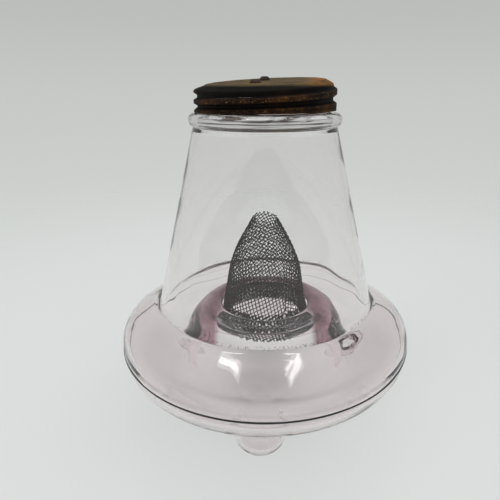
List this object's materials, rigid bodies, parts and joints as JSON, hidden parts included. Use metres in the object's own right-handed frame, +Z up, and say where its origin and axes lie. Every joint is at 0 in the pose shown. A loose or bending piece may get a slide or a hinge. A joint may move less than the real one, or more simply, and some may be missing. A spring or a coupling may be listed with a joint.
{
  "type": "fly trap",
  "caption": "Glass fly trap: a tapered bottle on feet with a ring trough, a screw cap, and a woven wire cone wedged up into the dome in its base.",
  "frame": {"origin": "on the plane that the feet stand on, under the axis of the glass", "axes": "+Z up along the axis of the glass; -Y is the front, where one foot points"},
  "size_m": [0.1674, 0.1674, 0.1808],
  "materials": {
    "clear_glass": "pressed clear glass turned faintly lilac by age, glossy",
    "wire_gauze": "dull grey woven wire gauze",
    "lacing_wire": "dull dark wire",
    "rusty_tin": "tinplate with worn lacquer, browned and rusted",
    "liner_board": "waxed pulp board",
    "rivet_metal": "dull steel, rubbed bright on the crown",
    "strap_tin": "dull tinplate"
  },
  "bodies": {
    "glass": {"glass_body": "clear_glass"},
    "liner": {"cap_liner": "liner_board"},
    "cap": {"screw_cap": "rusty_tin", "cap_rivets": "rivet_metal", "rivet_strap": "strap_tin"},
    "cone": {"wire_cone": "wire_gauze", "cone_lacing_wire": "lacing_wire"}
  },
  "joints": [
    {"name": "cap_lift", "type": "slide", "parent": "glass", "child": "liner", "axis": [0, 0, 1], "range_m": [0, 0.00953]},
    {"name": "cap_turn", "type": "hinge", "parent": "liner", "child": "cap", "pos_m": [0, 0, 0.178], "axis": [0, 0, 1], "range_deg": [0, 540]},
    {"name": "cone_pull", "type": "slide", "parent": "glass", "child": "cone", "axis": [0, 0, -1], "range_m": [0, 0.043]}
  ],
  "couplings": [
    {"joint": "cap_lift", "follows": "cap_turn", "m_per_rad": 0.0010106}
  ]
}
